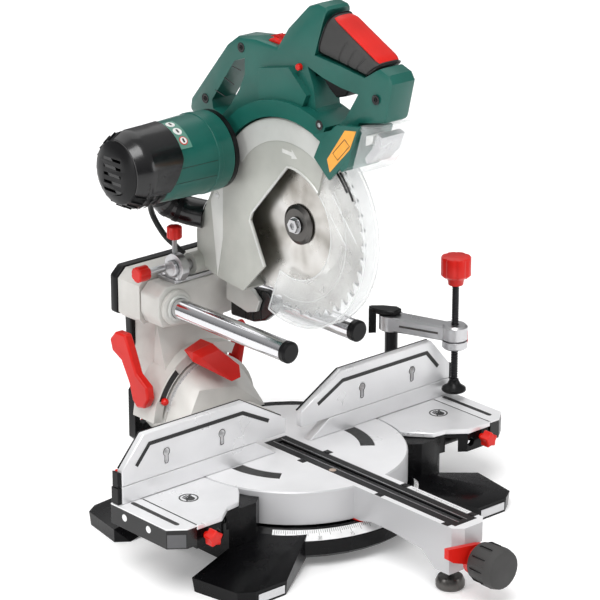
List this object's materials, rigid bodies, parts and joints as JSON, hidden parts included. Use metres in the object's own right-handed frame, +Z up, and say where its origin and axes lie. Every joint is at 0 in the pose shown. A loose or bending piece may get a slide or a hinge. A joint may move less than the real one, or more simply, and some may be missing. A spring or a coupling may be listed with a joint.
{
  "type": "mitre saw",
  "caption": "Sliding compound mitre saw on its own cast base and feet, with turntable arm, tilting column, twin rails, hinged motor head, fences and a hold-down clamp.",
  "frame": {"origin": "middle of the footprint on the bench plane, under the whole saw's box", "axes": "+Z up, -Y towards the operator, +X the operator's right, along the fence"},
  "size_m": [0.5196, 0.595, 0.625],
  "materials": {
    "base_black": "satin black powder coat over a die casting",
    "casting_grey": "light warm grey paint over a die casting",
    "table_metal": "fine machined face with a clear coat",
    "guard_grey": "grey hammered paint over a thin casting",
    "green_shell": "glass-filled nylon with a fine moulded grain",
    "black_plastic": "black glass-filled nylon",
    "red_plastic": "red moulded plastic",
    "grip_rubber": "black overmoulded rubber with ribs",
    "clear_plastic": "clear polycarbonate, lightly scratched",
    "chrome_rail": "ground and hard-chromed bar",
    "steel": "turned or pressed steel, zinc plated",
    "blade_steel": "ground steel plate with brazed teeth",
    "winding": "laminated iron with varnished copper windings",
    "cable_rubber": "black rubber sheath",
    "post_black": "black oxide on steel"
  },
  "bodies": {
    "base": {"base_frame": "base_black", "table_left": "table_metal", "table_right": "table_metal", "fence_lower_left": "table_metal", "fence_lower_right": "table_metal", "pivot_bolt": "steel"},
    "turntable": {"turntable": "casting_grey", "table_insert": "black_plastic", "bevel_trunnion": "casting_grey", "rear_bracket": "base_black"},
    "levelling_foot": {"levelling_foot": "steel"},
    "mitre_knob": {"mitre_knob": "grip_rubber"},
    "mitre_latch": {"mitre_latch": "red_plastic"},
    "bevel_stop_button": {"bevel_stop_button": "red_plastic"},
    "column": {"bevel_column": "casting_grey", "column_rear_cover": "black_plastic", "guide_rail_left": "chrome_rail", "guide_rail_right": "chrome_rail"},
    "bevel_lock": {"bevel_lock_lever": "red_plastic"},
    "bevel_lock_right": {"bevel_lever_right": "red_plastic"},
    "index_lever": {"bevel_index_lever": "red_plastic"},
    "carriage": {"carriage": "casting_grey", "rail_bearing_left": "casting_grey", "rail_bearing_right": "casting_grey", "pivot_bracket": "steel", "pivot_pin": "steel", "return_spring": "steel"},
    "slide_lock": {"slide_lock_knob": "red_plastic"},
    "depth_stop": {"depth_stop_screw": "red_plastic"},
    "head": {"head_housing": "green_shell", "handle_grip": "grip_rubber", "gear_case": "black_plastic", "motor_housing": "green_shell", "motor_cap": "black_plastic", "motor_stator": "winding", "drive_belt": "cable_rubber", "upper_guard": "guard_grey", "dust_elbow": "black_plastic", "lamp_window": "clear_plastic", "head_cable": "cable_rubber"},
    "trigger": {"trigger": "black_plastic"},
    "lock_button": {"lock_button": "red_plastic"},
    "light_switch": {"light_switch": "red_plastic"},
    "motor": {"motor_rotor": "winding"},
    "blade": {"arbor_shaft": "steel", "saw_blade": "blade_steel", "blade_flange": "steel", "arbor_bolt": "steel"},
    "lower_guard": {"lower_guard": "clear_plastic"},
    "fence_left": {"fence_upper_left": "table_metal"},
    "fence_right": {"fence_upper_right": "table_metal"},
    "extension_left": {"extension_left": "table_metal"},
    "extension_right": {"extension_right": "table_metal"},
    "extension_knob_left": {"extension_knob_left": "red_plastic"},
    "extension_knob_right": {"extension_knob_right": "red_plastic"},
    "clamp_post": {"clamp_post": "post_black"},
    "clamp_arm": {"clamp_arm": "steel"},
    "clamp_lever": {"clamp_lever": "black_plastic"},
    "clamp_screw": {"clamp_spindle": "post_black", "clamp_knob": "red_plastic"}
  },
  "joints": [
    {"name": "mitre_turn", "type": "hinge", "parent": "base", "child": "turntable", "pos_m": [-0.00175, 0.0475, 0.086], "axis": [0, 0, 1], "range_deg": [-47, 47]},
    {"name": "levelling_foot_screw", "type": "hinge", "parent": "turntable", "child": "levelling_foot", "pos_m": [-0.00175, -0.2145, 0.008], "axis": [0, 0, 1], "range_deg": [-180, 180]},
    {"name": "mitre_knob_screw", "type": "hinge", "parent": "turntable", "child": "mitre_knob", "pos_m": [-0.00175, -0.2785, 0.048], "axis": [0, 1, 0], "range_deg": [-180, 180]},
    {"name": "mitre_latch_press", "type": "hinge", "parent": "turntable", "child": "mitre_latch", "pos_m": [-0.00175, -0.2545, 0.048], "axis": [0, -1, 0], "range_deg": [0, 15], "stiffness_Nm_per_rad": 0.3, "springref_deg": -17.19},
    {"name": "bevel_stop_press", "type": "slide", "parent": "turntable", "child": "bevel_stop_button", "axis": [0, -1, 0], "range_m": [0, 0.0025], "stiffness_N_per_m": 400, "springref_m": -0.004},
    {"name": "bevel_tilt", "type": "hinge", "parent": "turntable", "child": "column", "pos_m": [-0.00175, 0.2475, 0.086], "axis": [0, -1, 0], "range_deg": [0, 33.9]},
    {"name": "bevel_lock_turn", "type": "hinge", "parent": "column", "child": "bevel_lock", "pos_m": [-0.08975, 0.2125, 0.125], "axis": [-1, 0, 0], "range_deg": [0, 35]},
    {"name": "bevel_lever_turn", "type": "hinge", "parent": "column", "child": "bevel_lock_right", "pos_m": [0.07025, 0.2375, 0.124], "axis": [-1, 0, 0], "range_deg": [0, 35]},
    {"name": "bevel_index_lift", "type": "hinge", "parent": "column", "child": "index_lever", "pos_m": [-0.00175, 0.197, 0.183], "axis": [-1, 0, 0], "range_deg": [0, 12], "stiffness_Nm_per_rad": 0.4, "springref_deg": -17.19},
    {"name": "rail_slide", "type": "slide", "parent": "column", "child": "carriage", "axis": [0, -1, 0], "range_m": [0, 0.18]},
    {"name": "slide_lock_screw", "type": "hinge", "parent": "carriage", "child": "slide_lock", "pos_m": [-0.07175, 0.2195, 0.273], "axis": [1, 0, 0], "range_deg": [0, 90]},
    {"name": "depth_stop_turn", "type": "hinge", "parent": "carriage", "child": "depth_stop", "pos_m": [-0.04475, 0.2075, 0.312], "axis": [0, 0, 1], "range_deg": [-180, 180]},
    {"name": "chop", "type": "hinge", "parent": "carriage", "child": "head", "pos_m": [-0.00175, 0.2035, 0.276], "axis": [1, 0, 0], "range_deg": [0, 54], "stiffness_Nm_per_rad": 9, "springref_deg": -74.48},
    {"name": "trigger_pull", "type": "hinge", "parent": "head", "child": "trigger", "pos_m": [0.00725, 0.0175, 0.552], "axis": [-1, 0, 0], "range_deg": [0, 5], "stiffness_Nm_per_rad": 0.5, "springref_deg": -17.19},
    {"name": "lock_button_press", "type": "slide", "parent": "head", "child": "lock_button", "axis": [1, 0, 0], "range_m": [0, 0.0025], "stiffness_N_per_m": 400, "springref_m": -0.004},
    {"name": "light_switch_press", "type": "slide", "parent": "head", "child": "light_switch", "axis": [0, 0, -1], "range_m": [0, 0.0025], "stiffness_N_per_m": 400, "springref_m": -0.004},
    {"name": "blade_spin", "type": "hinge", "parent": "head", "child": "blade", "pos_m": [-0.00175, 0.0351, 0.3614], "axis": [1, 0, 0], "continuous": true},
    {"name": "motor_spin", "type": "hinge", "parent": "head", "child": "motor", "pos_m": [-0.00175, 0.1505, 0.43], "axis": [1, 0, 0], "continuous": true},
    {"name": "lower_guard_turn", "type": "hinge", "parent": "head", "child": "lower_guard", "pos_m": [-0.00175, 0.0351, 0.3614], "axis": [1, 0, 0], "range_deg": [-141, 0]},
    {"name": "fence_left_slide", "type": "slide", "parent": "base", "child": "fence_left", "axis": [-1, 0, 0], "range_m": [0, 0.06]},
    {"name": "fence_right_slide", "type": "slide", "parent": "base", "child": "fence_right", "axis": [1, 0, 0], "range_m": [0, 0.06]},
    {"name": "extension_left_slide", "type": "slide", "parent": "base", "child": "extension_left", "axis": [-1, 0, 0], "range_m": [0, 0.045]},
    {"name": "extension_right_slide", "type": "slide", "parent": "base", "child": "extension_right", "axis": [1, 0, 0], "range_m": [0, 0.045]},
    {"name": "extension_knob_left_screw", "type": "hinge", "parent": "base", "child": "extension_knob_left", "pos_m": [-0.21375, -0.0595, 0.071], "axis": [0, 1, 0], "range_deg": [-180, 180]},
    {"name": "extension_knob_right_screw", "type": "hinge", "parent": "base", "child": "extension_knob_right", "pos_m": [0.21025, -0.0595, 0.071], "axis": [0, 1, 0], "range_deg": [-180, 180]},
    {"name": "clamp_post_lift", "type": "slide", "parent": "base", "child": "clamp_post", "axis": [0, 0, 1], "range_m": [0, 0.04]},
    {"name": "clamp_arm_swing", "type": "hinge", "parent": "clamp_post", "child": "clamp_arm", "pos_m": [0.21225, 0.1105, 0.17], "axis": [0, 0, 1], "range_deg": [-38, 0]},
    {"name": "clamp_lever_turn", "type": "hinge", "parent": "clamp_arm", "child": "clamp_lever", "pos_m": [0.21225, 0.1105, 0.184], "axis": [0, 0, 1], "range_deg": [0, 30]},
    {"name": "clamp_screw_travel", "type": "slide", "parent": "clamp_arm", "child": "clamp_screw", "axis": [0, 0, 1], "range_m": [-0.0115, 0.03]}
  ],
  "couplings": [
    {"joint": "motor_spin", "follows": "blade_spin", "ratio": 1.5385},
    {"joint": "lower_guard_turn", "follows": "chop", "ratio": -2.6}
  ]
}
